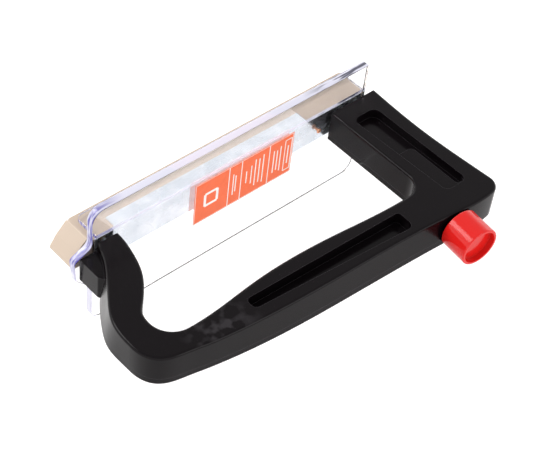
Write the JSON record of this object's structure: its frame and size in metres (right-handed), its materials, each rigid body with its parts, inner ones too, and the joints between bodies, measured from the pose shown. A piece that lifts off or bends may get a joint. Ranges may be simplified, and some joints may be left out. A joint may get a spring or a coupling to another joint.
{
  "type": "miter box saw",
  "caption": "D-handled back saw for a miter box: clear fence across the frame, sheathed toothed blade behind it, knob-tightened clamp rod.",
  "frame": {"origin": "centre of the underside of the bounding box, level with the lower long edge of the clear fence", "axes": "+X along the fence from toe to heel, +Y from the handle through the fence towards the teeth, +Z out of the upper side of the frame"},
  "size_m": [0.292, 0.1808, 0.1045],
  "materials": {
    "black_plastic": "satin gloss, moulded",
    "clear_acrylic": "polished, faint violet edges",
    "bright_zinc": "bright zinc plate",
    "zinc_steel": "zinc plated",
    "blade_steel": "ground and oiled",
    "spring_steel": "oil tempered",
    "copper": "copper rivet",
    "brass": "machined",
    "cream_plastic": "semi-matt moulded",
    "red_plastic": "glossy moulded",
    "orange_label": "printed film"
  },
  "bodies": {
    "saw": {"frame_body": "black_plastic", "frame_cover": "black_plastic", "cover_screws": "zinc_steel", "clear_fence": "clear_acrylic", "spine_angle": "bright_zinc", "spine_rivet": "copper", "fence_inserts": "brass", "fence_screws": "zinc_steel", "blade_back": "blade_steel", "saw_blade": "blade_steel", "blade_rivets": "brass", "release_spring": "spring_steel", "rod_bush": "brass", "thrust_washer": "zinc_steel", "spec_label": "orange_label"},
    "knob": {"clamp_knob": "red_plastic", "knob_insert": "brass"},
    "rod": {"clamp_rod": "zinc_steel", "spring_collar": "spring_steel"},
    "guard": {"blade_guard": "cream_plastic", "guard_nose": "cream_plastic", "guard_clips": "spring_steel"}
  },
  "joints": [
    {"name": "knob_turn", "type": "hinge", "parent": "saw", "child": "knob", "pos_m": [0.10221, -0.06757, 0.063], "axis": [-0.1045, -0.9945, 0], "range_deg": [0, 1440]},
    {"name": "rod_slide", "type": "slide", "parent": "saw", "child": "rod", "axis": [0.1045, 0.9945, 0], "range_m": [0, 0.004]},
    {"name": "guard_slide", "type": "slide", "parent": "saw", "child": "guard", "axis": [0, 1, 0], "range_m": [0, 0.022]}
  ],
  "couplings": [
    {"joint": "knob_turn", "follows": "rod_slide", "rad_per_m": 6283.2}
  ]
}
